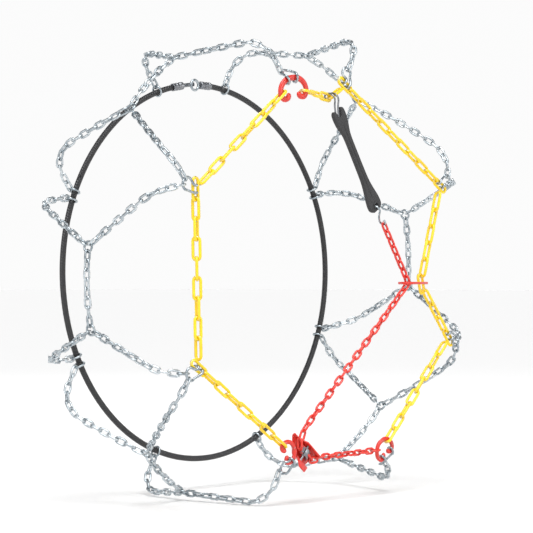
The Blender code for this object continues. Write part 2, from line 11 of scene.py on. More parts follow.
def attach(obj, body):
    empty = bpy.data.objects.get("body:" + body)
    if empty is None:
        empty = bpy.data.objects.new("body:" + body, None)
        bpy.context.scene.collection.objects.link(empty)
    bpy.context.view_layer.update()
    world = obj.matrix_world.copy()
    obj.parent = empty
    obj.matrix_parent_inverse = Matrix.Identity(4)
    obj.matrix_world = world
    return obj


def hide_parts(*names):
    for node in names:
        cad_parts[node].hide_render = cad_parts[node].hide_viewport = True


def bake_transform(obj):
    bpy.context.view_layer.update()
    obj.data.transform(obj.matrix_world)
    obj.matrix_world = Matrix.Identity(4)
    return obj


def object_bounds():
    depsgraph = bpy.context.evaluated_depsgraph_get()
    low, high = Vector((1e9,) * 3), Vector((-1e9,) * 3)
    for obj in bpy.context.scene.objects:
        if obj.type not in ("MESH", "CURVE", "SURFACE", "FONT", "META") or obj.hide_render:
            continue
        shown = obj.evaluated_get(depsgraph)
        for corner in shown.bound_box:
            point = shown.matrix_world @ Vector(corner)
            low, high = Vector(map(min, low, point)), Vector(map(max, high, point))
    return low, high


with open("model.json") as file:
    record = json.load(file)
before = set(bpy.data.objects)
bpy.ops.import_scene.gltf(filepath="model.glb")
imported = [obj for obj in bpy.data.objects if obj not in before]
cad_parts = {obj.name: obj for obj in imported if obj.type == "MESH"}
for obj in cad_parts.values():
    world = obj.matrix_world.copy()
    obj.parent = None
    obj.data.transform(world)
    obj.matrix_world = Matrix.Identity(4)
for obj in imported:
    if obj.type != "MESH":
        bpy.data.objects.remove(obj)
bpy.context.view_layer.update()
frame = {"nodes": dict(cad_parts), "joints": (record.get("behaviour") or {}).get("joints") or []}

# --------------------------------------------
# Side chain
# The long-link chain that runs round the outer sidewall and holds the net's outer ends. Each
# link is bent from 4 mm steel wire, butt welded, zinc plated and dipped in yellow lacquer.
# --------------------------------------------

SIDE_PLANE = 0.116
SIDE_WIRE, SIDE_WIDTH, SIDE_PITCH = 0.0040, 0.0130, 0.0236
LEAN_RUN = 2.5
# How far out along a link, as a share of its half length, its neighbour starts to rub it
RUB_START = 0.62

# Ties, where the net is hooked to the side chain: angle from +X towards +Z, and radius
TIES = {
    "upper_left": (108.3, 0.251),
    "left": (157.8, 0.268),
    "lower_left": (206.7, 0.271),
    "bottom_left": (251.2, 0.254),
    "bottom_right": (293.7, 0.263),
    "lower_right": (340.5, 0.278),
    "right": (386.7, 0.272),
    "upper_right": (441.5, 0.253),
}
OUTWARD = Vector((0, -1, 0))
INBOARD = Vector((0, 1, 0))


def polar(degrees, radius, depth=0.0):
    """A point at an angle in the wheel's plane, at a depth along the axle."""
    turn = radians(degrees)
    return Vector((radius * cos(turn), depth, radius * sin(turn)))


def tie_point(name, depth=-SIDE_PLANE):
    return polar(*TIES[name], depth)


def joint_place(name):
    """The place of a joint in the frame."""
    return Vector(next(j["pos_m"] for j in frame["joints"] if j["name"] == name))


def only(kind, geom):
    """The verts, edges or faces among what an operator gives back."""
    return [g for g in geom if isinstance(g, kind)]


def edges_at(verts):
    """The edges that meet at some verts."""
    return list({e for v in verts for e in v.link_edges})


def pull_edges(bm, edges):
    """Extrude a row of edges where it lies; gives the new verts and the new row of edges."""
    pulled = bmesh.ops.extrude_edge_only(bm, edges=edges)["geom"]
    ends = only(BMVert, pulled)
    return ends, [e for e in only(BMEdge, pulled) if all(v in ends for v in e.verts)]


def axes_at(x, y, z, spot):
    """The matrix that lays a shape's own axes along x, y and z, at a spot."""
    place = Matrix((x, y, z)).transposed().to_4x4()
    place.translation = spot
    return place


def forge_link(name, pitch, width, wire, sides, bend_steps):
    """One chain link in its own plane: wire bent round two ends, long axis on X."""
    bm = bmesh.new()
    bend = (width - wire) / 2
    half = (pitch + wire) / 2 - bend
    start = Matrix.Translation((half, -bend, 0)) @ Matrix.Rotation(pi / 2, 4, "Y")
    first = bmesh.ops.create_circle(bm, segments=sides, radius=wire / 2, matrix=start)["verts"]
    edges = edges_at(first)
    for side in (1, -1):
        spun = bmesh.ops.spin(
            bm, geom=edges, cent=(side * half, 0, 0), axis=(0, 0, 1), angle=pi, steps=bend_steps
        )["geom_last"]
        ends, edges = pull_edges(bm, only(BMEdge, spun))
        bmesh.ops.translate(bm, verts=ends, vec=(-side * 2 * half, 0, 0))
    bmesh.ops.remove_doubles(bm, verts=bm.verts, dist=wire * 0.01)
    bmesh.ops.recalc_face_normals(bm, faces=bm.faces)
    link = bpy.data.meshes.new(name)
    bm.to_mesh(link)
    bm.free()
    return link


def measure(route):
    """Distances along a route of (point, facing) pairs."""
    marks = [0.0]
    for (a, _), (b, _) in zip(route, route[1:]):
        marks.append(marks[-1] + (b - a).length)
    return marks


def at(route, marks, distance):
    """The point and facing at a distance along a route; past an end it runs straight on."""
    i = 0
    while i < len(marks) - 2 and marks[i + 1] < distance:
        i += 1
    share = (distance - marks[i]) / (marks[i + 1] - marks[i])
    (a, up_a), (b, up_b) = route[i], route[i + 1]
    keep = min(max(share, 0.0), 1.0)
    return a + (b - a) * share, up_a.lerp(up_b, keep).normalized()


def hang_links(route, pitch, reach, turns, lean=0.0):
    """Places for a taut run of links along a route, and the pitch at which they just touch.

    reach gives how far the first and last link's centres lie from the route's ends, each as a
    share of the pitch and a length to add. turns gives the first and last link's roll about the
    chain, 0 lying flat on its surface; the links between turn a quarter each, share out what is
    left over, and lean over by lean once they are LEAN_RUN links away from an end."""
    marks = measure(route)
    (first_share, first_more), (last_share, last_more) = reach
    free = marks[-1] - first_more - last_more
    gaps = round(free / pitch - first_share - last_share)
    fitted = free / (gaps + first_share + last_share)
    first, last = turns
    left_over = (last - first - gaps * pi / 2 + pi / 2) % pi - pi / 2
    turn = pi / 2 + left_over / max(gaps, 1)
    places = []
    for n in range(gaps + 1):
        here = first_more + fitted * (first_share + n)
        spot, up = at(route, marks, here)
        behind, _ = at(route, marks, here - fitted / 2)
        ahead, _ = at(route, marks, here + fitted / 2)
        along = (ahead - behind).normalized()
        up = (up - along * up.dot(along)).normalized()
        roll = first + n * turn + lean * min(1.0, min(n, gaps - n) / LEAN_RUN)
        up = Matrix.Rotation(roll, 3, along) @ up
        across = up.cross(along)
        places.append(axes_at(along, across, up, spot))
    return places, fitted


def keep(bm, name, finish):
    """The finished mesh as an object of the scene, smooth shaded."""
    if name in frame["nodes"]:
        name += "_finished"
    mesh = bpy.data.meshes.new(name)
    bm.to_mesh(mesh)
    bm.free()
    mesh.materials.append(finish)
    mesh.shade_smooth()
    piece = bpy.data.objects.new(name, mesh)
    bpy.context.scene.collection.objects.link(piece)
    return piece


shade_draw = random.Random(12)


def link_chain(name, link, places, finish):
    """One stretch of chain: a copy of the forged link at each place.

    Two attributes ride on it for its finish: rub, which is 1 where links saw on each other,
    and batch, a shade for each link."""
    bm = bmesh.new()
    for place in places:
        done = len(bm.verts)
        bm.from_mesh(link)
        bm.verts.ensure_lookup_table()
        bmesh.ops.transform(bm, matrix=place, verts=bm.verts[done:])
    piece = keep(bm, name, finish)
    reach = max(v.co.x for v in link.vertices)
    rub = [max(0.0, (abs(v.co.x) / reach - RUB_START) / (1 - RUB_START)) for v in link.vertices]
    shades = [shade_draw.random() for _ in places]
    for title, values in (
        ("rub", rub * len(places)),
        ("batch", [s for s in shades for _ in link.vertices]),
    ):
        layer = piece.data.attributes.new(title, "FLOAT", "POINT")
        layer.data.foreach_set("value", values)
    return piece


def linear(code):
    """A colour written as sRGB hex, as the shader needs it."""
    parts = [int(code[i : i + 2], 16) / 255 for i in (0, 2, 4)]
    return (*(c / 12.92 if c <= 0.04045 else ((c + 0.055) / 1.055) ** 2.4 for c in parts), 1.0)


def add_node(tree, kind, settings, links):
    """One shader node with its settings and what feeds its inputs: sockets, or nodes, which
    give their first output."""
    node = tree.nodes.new(kind)
    for key, value in settings.items():
        if isinstance(key, int) or key in node.inputs:
            node.inputs[key].default_value = value
        else:
            setattr(node, key, value)
    for key, source in links.items():
        tree.links.new(getattr(source, "outputs", [source])[0], node.inputs[key])
    return node


def start_material(name):
    """A new material: its node tree and its shader."""
    made = bpy.data.materials.new(name)
    made.use_nodes = True
    return made, made.node_tree, made.node_tree.nodes["Principled BSDF"]


def feed_shader(tree, shader, colour, gloss, bump):
    """Link a finish's colour, roughness and relief to its shader."""
    for key, node in (("Base Color", colour), ("Roughness", gloss), ("Normal", bump)):
        tree.links.new(node.outputs[0], shader.inputs[key])


def lacquered_wire(name, coat, thin_coat, bare):
    """Lacquer over zinc: its thickness varies in clouds and from link to link, and it is sawn
    through to the zinc where links touch. Grain is about 1 mm, flecks about 0.3 mm."""
    made, tree, shader = start_material(name)
    place = add_node(tree, "ShaderNodeTexCoord", {}, {}).outputs["Object"]
    runs = add_node(tree, "ShaderNodeTexNoise", {"Scale": 160.0, "Detail": 3.0}, {"Vector": place})
    flecks = add_node(tree, "ShaderNodeTexNoise", {"Scale": 900.0, "Detail": 4.0}, {"Vector": place})
    rub = add_node(tree, "ShaderNodeAttribute", {"attribute_name": "rub"}, {}).outputs["Fac"]
    batch = add_node(tree, "ShaderNodeAttribute", {"attribute_name": "batch"}, {}).outputs["Fac"]
    tone = add_node(
        tree, "ShaderNodeMath", {"operation": "MULTIPLY_ADD", 1: 0.35},
        {0: batch, 2: runs},
    )
    depth = add_node(
        tree, "ShaderNodeMapRange", {"From Min": 0.35, "From Max": 0.95}, {"Value": tone}
    )
    colour = add_node(
        tree, "ShaderNodeMixRGB", {"Color1": linear(thin_coat), "Color2": linear(coat)},
        {"Fac": depth},
    )
    worn = add_node(
        tree, "ShaderNodeMath", {"operation": "MULTIPLY_ADD", 1: 0.42},
        {0: rub, 2: flecks},
    )
    chips = add_node(
        tree, "ShaderNodeMapRange", {"From Min": 0.86, "From Max": 0.94}, {"Value": worn}
    )
    skin = add_node(
        tree, "ShaderNodeMixRGB", {"Color2": linear(bare)},
        {"Fac": chips, "Color1": colour},
    )
    gloss = add_node(
        tree, "ShaderNodeMapRange", {"To Min": 0.26, "To Max": 0.46},
        {"Value": flecks},
    )
    bump = add_node(
        tree, "ShaderNodeBump", {"Strength": 0.25, "Distance": 0.00015},
        {"Height": runs},
    )
    feed_shader(tree, shader, skin, gloss, bump)
    tree.links.new(chips.outputs[0], shader.inputs["Metallic"])
    shader.inputs["Coat Weight"].default_value = 0.35
    shader.inputs["Coat Roughness"].default_value = 0.15
    return made


YELLOW_LACQUER = lacquered_wire("yellow_dipped_lacquer", "FBDB20", "F3C811", "B9BDBF")
# A chain's make: its links' pitch, width and wire, the facets of their bends, and its finish
SIDE_MAKE = (SIDE_PITCH, SIDE_WIDTH, SIDE_WIRE, 7, YELLOW_LACQUER, "yellow_lacquer")
FLAT, UPRIGHT = 0.0, pi / 2
# Ends of a stretch: its link on the end, one link short of it, half a link short of it, and
# hung on a hook's bar that the end marks
ON_END, LINK_SHORT, HALF_SHORT, ON_BAR = (0.0, 0.0), (1.0, 0.0), (0.5, 0.0), (0.5, -SIDE_WIRE)


def stand_in(piece, node, body):
    """Let a finished piece replace a CAD node and ride on its body."""
    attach(piece, body)
    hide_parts(node)


def straight(*spots, facing=OUTWARD):
    """A route through points with straight runs between them."""
    return [(Vector(spot), facing) for spot in spots]


def stretch(name, body, spots, reach, turns, make=SIDE_MAKE):
    """A stretch of chain in straight runs, as one piece on its body."""
    pitch, width, wire, bend_steps, finish, slot = make
    places, fitted = hang_links(straight(*spots), pitch, reach, turns)
    link = forge_link(f"{name}_link", fitted, width, wire, 8, bend_steps)
    stand_in(link_chain(name, link, places, finish), name, body)


FRONT_PLANE = -0.127
kink_top = joint_place("closing_chain_swings")
kink_side = joint_place("guide_hook_turns")
LEFT_CLAW = joint_place("closing_hook_turns")
RIGHT_CLAW = Vector((-0.0560, FRONT_PLANE, 0.2355))
TIGHTENER_CLAW = Vector((-0.0945, FRONT_PLANE, -0.2285))
CONNECTOR_BACK = Vector((0.1150, FRONT_PLANE, -0.2290))
# In the tightener connector's narrow claw the link's end rests right on the end point
IN_CLAW = (0.5, SIDE_WIRE / 2)

# Each stretch starts with the link that its first tie holds, and the last link of the stretch
# before comes up to that link. The set folds at those places.
stretch(
    "side_chain_upper_left", "upper_left_net", [LEFT_CLAW, tie_point("left")],
    (ON_BAR, LINK_SHORT), (UPRIGHT, UPRIGHT),
)
stretch(
    "side_chain_left", "left_net", [tie_point("left"), tie_point("lower_left")],
    (ON_END, LINK_SHORT), (FLAT, UPRIGHT),
)
stretch(
    "side_chain_lower_left", "lower_left_net", [tie_point("lower_left"), TIGHTENER_CLAW],
    (ON_END, IN_CLAW), (FLAT, UPRIGHT),
)
stretch(
    "side_chain_lower_right", "wheel_side", [CONNECTOR_BACK, tie_point("lower_right")],
    (ON_BAR, LINK_SHORT), (UPRIGHT, UPRIGHT),
)
stretch(
    "side_chain_right", "wheel_side", [tie_point("lower_right"), kink_side, tie_point("right")],
    (ON_END, LINK_SHORT), (FLAT, UPRIGHT),
)
stretch(
    "side_chain_upper_right", "wheel_side", [tie_point("right"), tie_point("upper_right")],
    (ON_END, ON_END), (FLAT, FLAT),
)
stretch(
    "side_chain_top", "wheel_side", [tie_point("upper_right"), kink_top],
    (LINK_SHORT, HALF_SHORT), (UPRIGHT, UPRIGHT),
)
stretch(
    "closing_chain", "closing_chain", [kink_top, RIGHT_CLAW],
    (HALF_SHORT, ON_BAR), (FLAT, UPRIGHT),
)

# --------------------------------------------
# Net
# Short-link chain that lies over the tread in diamonds. The links are welded from 3.2 mm wire
# and zinc plated, and each lies at 45 degrees on the rubber, so that its edges bite.
# --------------------------------------------

NET_WIRE, NET_WIDTH, NET_PITCH = 0.0032, 0.0104, 0.0125
NET_RADIUS = 0.322
SHOULDER_RADIUS = 0.032
TREAD_HALF = SIDE_PLANE - SHOULDER_RADIUS
HOOP_RADIUS = 0.262

# Cells: the two ties, the tread joints' angles, how far inboard the joints lie, the body, and
# the body on the other side of the fold at the second tie
CELLS = {
    "upper_left": (
        ("upper_left", "left"), (119.0, 139.5), (0.014, 0.005), "upper_left_net", "left_net",
    ),
    "left": (
        ("left", "lower_left"), (174.7, 193.5), (0.002, 0.005), "left_net", "lower_left_net",
    ),
    "lower_left": (
        ("lower_left", "bottom_left"), (227.3, 246.0), (0.003, 0.022), "lower_left_net",
        "wheel_side",
    ),
    "lower_right": (
        ("bottom_right", "lower_right"), (304.0, 322.7), (0.022, 0.003), "wheel_side", None,
    ),
    "right": (("lower_right", "right"), (356.5, 375.3), (0.005, 0.002), "wheel_side", None),
    "upper_right": (
        ("right", "upper_right"), (410.5, 431.0), (0.005, 0.014), "wheel_side", None,
    ),
}


def over_tyre(arc, degrees):
    """Point and outward normal on the chain's surface; arc is counted from the tread's middle,
    negative towards the wheel's outer face."""
    side = -1.0 if arc < 0 else 1.0
    run = abs(arc)
    bend_length = SHOULDER_RADIUS * pi / 2
    if run <= TREAD_HALF:
        lean, depth, radius = 0.0, run, NET_RADIUS
    elif run <= TREAD_HALF + bend_length:
        lean = (run - TREAD_HALF) / SHOULDER_RADIUS
        depth = TREAD_HALF + SHOULDER_RADIUS * sin(lean)
        radius = NET_RADIUS - SHOULDER_RADIUS * (1 - cos(lean))
    else:
        lean, depth = pi / 2, SIDE_PLANE
        radius = NET_RADIUS - SHOULDER_RADIUS - (run - TREAD_HALF - bend_length)
    return polar(degrees, radius, side * depth), polar(degrees, cos(lean), side * sin(lean))


def arc_at_radius(radius):
    """Arc from the tread's middle down to a radius on the flat sidewall."""
    return TREAD_HALF + SHOULDER_RADIUS * pi / 2 + (NET_RADIUS - SHOULDER_RADIUS - radius)


def unrolled(start, end, steps=28):
    """A route over the tyre that is straight when its skin is unrolled: (arc, degrees) ends."""
    return [
        over_tyre(
            start[0] + (end[0] - start[0]) * k / steps,
            start[1] + (end[1] - start[1]) * k / steps,
        )
        for k in range(steps + 1)
    ]


def zinc_plate(name, bright, dull, rough=(0.24, 0.44)):
    """Zinc plating: bright, a little blue, in 2 to 5 mm clouds, with a fine frosted grain."""
    made, tree, shader = start_material(name)
    place = add_node(tree, "ShaderNodeTexCoord", {}, {}).outputs["Object"]
    cloud = add_node(tree, "ShaderNodeTexNoise", {"Scale": 240.0, "Detail": 3.0}, {"Vector": place})
    frost = add_node(tree, "ShaderNodeTexNoise", {"Scale": 1500.0, "Detail": 2.0}, {"Vector": place})
    batch = add_node(tree, "ShaderNodeAttribute", {"attribute_name": "batch"}, {}).outputs["Fac"]
    tone = add_node(
        tree, "ShaderNodeMath", {"operation": "MULTIPLY_ADD", 1: 0.3},
        {0: batch, 2: cloud},
    )
    spread = add_node(
        tree, "ShaderNodeMapRange", {"From Min": 0.35, "From Max": 0.9}, {"Value": tone}
    )
    colour = add_node(
        tree, "ShaderNodeMixRGB", {"Color1": linear(dull), "Color2": linear(bright)},
        {"Fac": spread},
    )
    gloss = add_node(
        tree, "ShaderNodeMapRange", {"To Min": rough[0], "To Max": rough[1]},
        {"Value": frost},
    )
    bump = add_node(
        tree, "ShaderNodeBump", {"Strength": 0.2, "Distance": 0.0001},
        {"Height": frost},
    )
    feed_shader(tree, shader, colour, gloss, bump)
    shader.inputs["Metallic"].default_value = 1.0
    return made


ZINC = zinc_plate("zinc_plated_wire", "D9E0E4", "8B959C")
# A bow: where the strands hang in its arch, outwards and to the side, and its wire
BOW_TOP, BOW_SIDE, BOW_WIRE = 0.0227, 0.0045, 0.0034
RING_RADIUS, RING_WIRE = 0.0070, 0.0030
# Rings on the hoop hang a little outwards of it, each this many degrees beside its tie
HOOP_RING_RADIUS, HOOP_RING_DROP, HOOP_RING_SHIFT = 0.0073, 0.0017, 1.4
NET_LEAN = pi / 4
# Ends of a strand: its link hung in a bow's arch, in a tread ring and in a ring on the hoop
IN_BOW = (0.5, -BOW_WIRE / 2)
IN_TREAD_RING = (0.5, RING_RADIUS - RING_WIRE / 2)
IN_HOOP_RING = (0.5, -RING_WIRE / 2)


def ring(name, centre, normal, radius, wire, sides=8, steps=20):
    """A closed wire ring about a centre."""
    bm = bmesh.new()
    start = Matrix.Translation((radius, 0, 0)) @ Matrix.Rotation(pi / 2, 4, "X")
    circle = bmesh.ops.create_circle(bm, segments=sides, radius=wire / 2, matrix=start)["verts"]
    bmesh.ops.spin(
        bm, geom=edges_at(circle), cent=(0, 0, 0), axis=(0, 0, 1), angle=2 * pi, steps=steps,
        use_merge=True,
    )
    turn = normal.to_track_quat("Z", "Y").to_matrix().to_4x4()
    bmesh.ops.transform(bm, matrix=Matrix.Translation(centre) @ turn, verts=bm.verts)
    bmesh.ops.recalc_face_normals(bm, faces=bm.faces)
    return keep(bm, name, ZINC)


def strand(name, route, reach, turns, body, fold_body=None):
    """One net strand; where the net folds, it is left in the frame, on no body."""
    places, pitch = hang_links(route, NET_PITCH, reach, turns, NET_LEAN)
    link = forge_link(f"{name}_link", pitch, NET_WIDTH, NET_WIRE, 6, 4)
    piece = link_chain(name, link, places, ZINC)
    if fold_body:
        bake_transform(piece)
    else:
        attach(piece, body)
    return piece


for cell, (ties, angles, depths, body, other_body) in CELLS.items():
    for mark, tie, degrees, depth in zip("ab", ties, angles, depths):
        tie_angle, tie_radius = TIES[tie]
        towards = 1 if degrees > tie_angle else -1
        folded = other_body if mark == "b" else None
        joint = (depth, degrees)
        side_step = towards * BOW_SIDE / (tie_radius + BOW_TOP) * 180 / pi
        bow = (-arc_at_radius(tie_radius + BOW_TOP), tie_angle + side_step)
        hoop_angle = tie_angle + towards * HOOP_RING_SHIFT
        hoop = (arc_at_radius(HOOP_RADIUS + HOOP_RING_DROP + HOOP_RING_RADIUS), hoop_angle)
        outer = strand(
            f"outer_strand_{cell}_{mark}", unrolled(bow, joint),
            (IN_BOW, IN_TREAD_RING), (UPRIGHT, UPRIGHT), body, folded,
        )
        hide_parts(f"cross_chain_{cell}_{mark}")
        strand(
            f"inner_strand_{cell}_{mark}", unrolled(hoop, joint),
            (IN_HOOP_RING, IN_TREAD_RING), (FLAT, UPRIGHT), body, folded,
        )
        centre, normal = over_tyre(depth, degrees)
        tread_ring = ring(f"tread_ring_{cell}_{mark}", centre, normal, RING_RADIUS, RING_WIRE)
        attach(tread_ring, body)
        hoop_ring = ring(
            f"hoop_ring_{cell}_{mark}",
            polar(hoop_angle, HOOP_RADIUS + HOOP_RING_DROP, SIDE_PLANE),
            polar(hoop_angle + 90, 1.0), HOOP_RING_RADIUS, RING_WIRE,
        )
        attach(hoop_ring, folded or body)
    bridge = strand(
        f"bridge_chain_{cell}_links", unrolled(*zip(depths, angles), steps=12),
        (IN_TREAD_RING, IN_TREAD_RING), (UPRIGHT, UPRIGHT), body,
    )
    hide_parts(f"bridge_chain_{cell}")

# --------------------------------------------
# Tie links
# Bow-shaped hooks of 3.4 mm zinc-plated wire. Both feet are closed round the side chain's link
# or the bar of a red hook, and the net's end links hang in the bow.
# --------------------------------------------


def curve_through(points, steps):
    """A smooth row of points through the given ones (Catmull-Rom)."""
    spots = [Vector(p) for p in points]
    ends = [spots[0] * 2 - spots[1], *spots, spots[-1] * 2 - spots[-2]]
    smooth = []
    for a, b, c, d in zip(ends, ends[1:], ends[2:], ends[3:]):
        for k in range(steps):
            t = k / steps
            smooth.append(
                (b * 2 + (c - a) * t + (a * 2 - b * 5 + c * 4 - d) * t * t
                 + (b * 3 - a - c * 3 + d) * t**3) / 2
            )
    return [*smooth, spots[-1]]


END_SIZE = 0.45


def bend_bar(bm, spots, width, height, up, sides=8, flatness=2.0, taper=0.0):
    """Draw a bar along points: a section pushed on from station to station.

    width lies in the plane of the bend and height along up, which is square to it. flatness
    is 2 for a round section and more for one with flats. taper draws in the ends to END_SIZE
    over that share of the length."""
    last = len(spots) - 1
    lift = up.normalized()
    face = before = None
    for n, spot in enumerate(spots):
        along = (spots[min(n + 1, last)] - spots[max(n - 1, 0)]).normalized()
        lift = (lift - along * lift.dot(along)).normalized()
        across = lift.cross(along)
        end = min(min(n, last - n) / (last * taper), 1.0) if taper else 1.0
        size = END_SIZE + (1 - END_SIZE) * sqrt(end * (2 - end))
        here = axes_at(across * width / 2, lift * height / 2, along, spot)
        here = here @ Matrix.Diagonal((size, size, 1.0, 1.0))
        if face is None:
            section = bmesh.ops.create_circle(bm, cap_ends=True, segments=sides, radius=1.0)["verts"]
            face = list({f for v in section for f in v.link_faces})
            for v in section:
                v.co /= (abs(v.co.x) ** flatness + abs(v.co.y) ** flatness) ** (1 / flatness)
            bmesh.ops.transform(bm, matrix=here, verts=section)
        else:
            pushed = bmesh.ops.extrude_face_region(bm, geom=face)["geom"]
            section = only(BMVert, pushed)
            if n > 1:
                bmesh.ops.delete(bm, geom=face, context="FACES_ONLY")
            face = only(BMFace, pushed)
            bmesh.ops.transform(bm, matrix=here @ before.inverted(), verts=section)
        before = here
    bmesh.ops.recalc_face_normals(bm, faces=bm.faces)


NET_BODIES = {"upper_left": "upper_left_net", "left": "left_net", "lower_left": "lower_left_net"}
# Which way the side chain's link lies at each tie where a bow holds it
LINK_RUNS = {
    "left": tie_point("lower_left") - tie_point("left"),
    "lower_left": TIGHTENER_CLAW - tie_point("lower_left"),
    "lower_right": kink_side - tie_point("lower_right"),
    "right": tie_point("upper_right") - tie_point("right"),
    "upper_right": tie_point("upper_right") - tie_point("right"),
}
# One side of a bow: along the chain, outward, and off the side plane
BOW_FOOT = (
    (-0.0046, 0.0004, -0.0042), (-0.0046, -0.0002, 0.0002), (-0.0046, 0.0012, 0.0042),
    (-0.0050, 0.0058, 0.0038),
)
BOW_LEG = ((-0.0074, 0.0125, 0.0010), (-0.0082, 0.0175, 0.0008))
BOW_ARCH = ((-0.0055, 0.0222, 0.0008), (0.0, 0.0240, 0.0008))


def at_tie(tie, along, out, lift):
    """A point in a tie's own frame."""
    angle = TIES[tie][0]
    return tie_point(tie) + polar(angle + 90, along) + polar(angle, out) + OUTWARD * lift


def tie_bow(tie, left_side, right_side):
    """A bow from its left foot over the arch to its right foot."""
    arch = [at_tie(tie, a, b, c) for a, b, c in BOW_ARCH]
    arch += [at_tie(tie, -a, b, c) for a, b, c in reversed(BOW_ARCH[:-1])]
    bm = bmesh.new()
    spots = curve_through([*left_side, *arch, *reversed(right_side)], 4)
    bend_bar(bm, spots, BOW_WIRE, BOW_WIRE, polar(TIES[tie][0] + 90, 1.0), 8)
    bow = keep(bm, f"tie_bow_{tie}", ZINC)
    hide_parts(f"tie_link_{tie}")
    return bow


for tie, run in LINK_RUNS.items():
    run.y = 0.0
    run.normalize()
    aside = run.cross(OUTWARD)
    sides = [
        [tie_point(tie) + run * hand * a + aside * b + OUTWARD * c for a, b, c in BOW_FOOT]
        + [at_tie(tie, hand * a, b, c) for a, b, c in BOW_LEG]
        for hand in (1, -1)
    ]
    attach(tie_bow(tie, *sides), NET_BODIES.get(tie, "wheel_side"))

# --------------------------------------------
# Closing hook and connectors
# Flat hooks bent from steel bar with a claw at each end, powder coated red: 8 mm bar for the
# closing hook, 6 mm for the others. The chains' end links hang in the claws, and bows grip them.
# --------------------------------------------

HOOK_BAR, HOOK_STEEL, HOOK_DEPTH = 0.0058, 0.0076, 0.0046
CLAW_MOUTH = 0.0090
# A claw's tip reaches in this many times the claw's size
TIP_REACH = 1.9
# A gripping bow's foot: its gap to the bar, and how far its points stand off, as its smooth
# line runs inside them between one and the next
GRIP_GAP, GRIP_SLACK = 0.0003, 1.1
# The leg of a bow that grips a hook, above its foot
HOOKED_LEG = (-0.0076, 0.0212, 0.0034)
RED_COAT = lacquered_wire("red_powder_coat", "E83A2A", "D02418", "A9A6A4")


def on_face(x, z, depth=FRONT_PLANE):
    """A point on the plane in which the tensioning parts lie."""
    return Vector((x, depth, z))


def wear(piece, spots, reach):
    """Mark where a piece rubs on its neighbours, for its finish."""
    rub = [
        max([0.0] + [1 - (v.co - spot).length / reach for spot in spots])
        for v in piece.data.vertices
    ]
    layer = piece.data.attributes.new("rub", "FLOAT", "POINT")
    layer.data.foreach_set("value", rub)


def claw_hook(name, body, centre, lean, width, rise, thick=HOOK_BAR):
    """An arch of bar with both ends curled in to claws; returns the points it is bent along."""
    along, out = polar(lean, 1.0), polar(lean + 90, 1.0)
    half = width / 2
    curl = min(rise * 0.32, (half - CLAW_MOUTH / 2) / TIP_REACH)
    side = [
        (-half + curl * TIP_REACH, -rise * 0.24), (-half + curl * 1.6, -rise * 0.46),
        (-half + curl * 0.6, -rise * 0.50), (-half, -rise * 0.20), (-half * 0.86, rise * 0.18),
        (-half * 0.45, rise * 0.45),
    ]
    arch = [*side, (0.0, rise * 0.5), *[(-a, b) for a, b in reversed(side)]]
    spots = [centre + along * a + out * b for a, b in arch]
    bm = bmesh.new()
    line = curve_through(spots, 4)
    bend_bar(bm, line, thick, HOOK_DEPTH, OUTWARD, 12, 3.0, 0.06)
    hook = keep(bm, name, RED_COAT)
    wear(hook, [spots[3], spots[-4], spots[len(side)]], reach=0.011)
    stand_in(hook, name, body)
    return line


def gripping_side(tie, line, place, thick):
    """A bow's foot closed round a hook's bar at a place on its line, from its tucked-in end."""
    run = (line[place + 1] - line[place - 1]).normalized()
    away = run.cross(OUTWARD)
    away *= 1 if away.dot(polar(TIES[tie][0], 1.0)) > 0 else -1
    reach, rise = [GRIP_SLACK * ((s + BOW_WIRE) / 2 + GRIP_GAP) for s in (thick, HOOK_DEPTH)]
    return [
        line[place] - away * reach * cos(radians(turn)) + OUTWARD * rise * sin(radians(turn))
        for turn in (-50, 0, 45, 90, 135, 180)
    ]


closing_line = claw_hook(
    "closing_hook", "closing_hook", tie_point("upper_left", FRONT_PLANE), 10.0, 0.050, 0.026, HOOK_STEEL
)
tightener_line = claw_hook(
    "tightener_connector", "wheel_side", on_face(-0.0865, -0.2340), -62.0, 0.028, 0.020
)
pull_line = claw_hook(
    "pull_chain_connector", "wheel_side", tie_point("bottom_right", FRONT_PLANE), 30.0, 0.034, 0.022
)
# The bows grip the closing hook on its back, and the two connectors on a claw: each hook's
# line, the two stations on it and the bar's thickness
GRIPS = {
    "upper_left": (closing_line, 20, 26, HOOK_STEEL),
    "bottom_left": (tightener_line, 42, 35, HOOK_BAR),
    "bottom_right": (pull_line, 6, 42, HOOK_BAR),
}
for tie, (line, *places, thick) in GRIPS.items():
    beside = polar(TIES[tie][0] + 90, 1.0)
    places.sort(key=lambda place: line[place].dot(beside))
    sides = [gripping_side(tie, line, place, thick) for place in places]
    across, out, lift = HOOKED_LEG
    sides[0].append(at_tie(tie, across, out, lift))
    sides[1].append(at_tie(tie, -across, out, lift))
    bow = tie_bow(tie, *sides)
    if tie == "upper_left":
        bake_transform(bow)
    else:
        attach(bow, "wheel_side")

# --------------------------------------------
# Pulling chain
# Short-link chain of 3.2 mm wire, lacquered red. It runs from the connector at the bottom
# through the tightener, up across the wheel to the guide hook, and back to the rubber strap.
# --------------------------------------------

PULL_WIRE = 0.0032
PULL_MAKE = (0.0125, 0.0102, PULL_WIRE, 4, RED_COAT, "red_lacquer")
# How far past the end point the first link reaches round the connector's bar
ROUND_CONNECTOR = 0.0045
# The tightener's corner, its floor's depth, its lean, and the height of the chain in it
LOCK_CORNER, LOCK_FLOOR, LOCK_LEAN, LOCK_CHAIN = (-0.0710, -0.2255), -0.1195, -40.0, 0.0072
LOCK_AXIS = polar(LOCK_LEAN, 1.0)
LOCK_ACROSS = polar(LOCK_LEAN - 90, 1.0)
GUIDE_BEND = on_face(0.159, -0.016)
tail_fold = joint_place("pull_tail_swings")
strap_chain_end = joint_place("s_hook_turns")


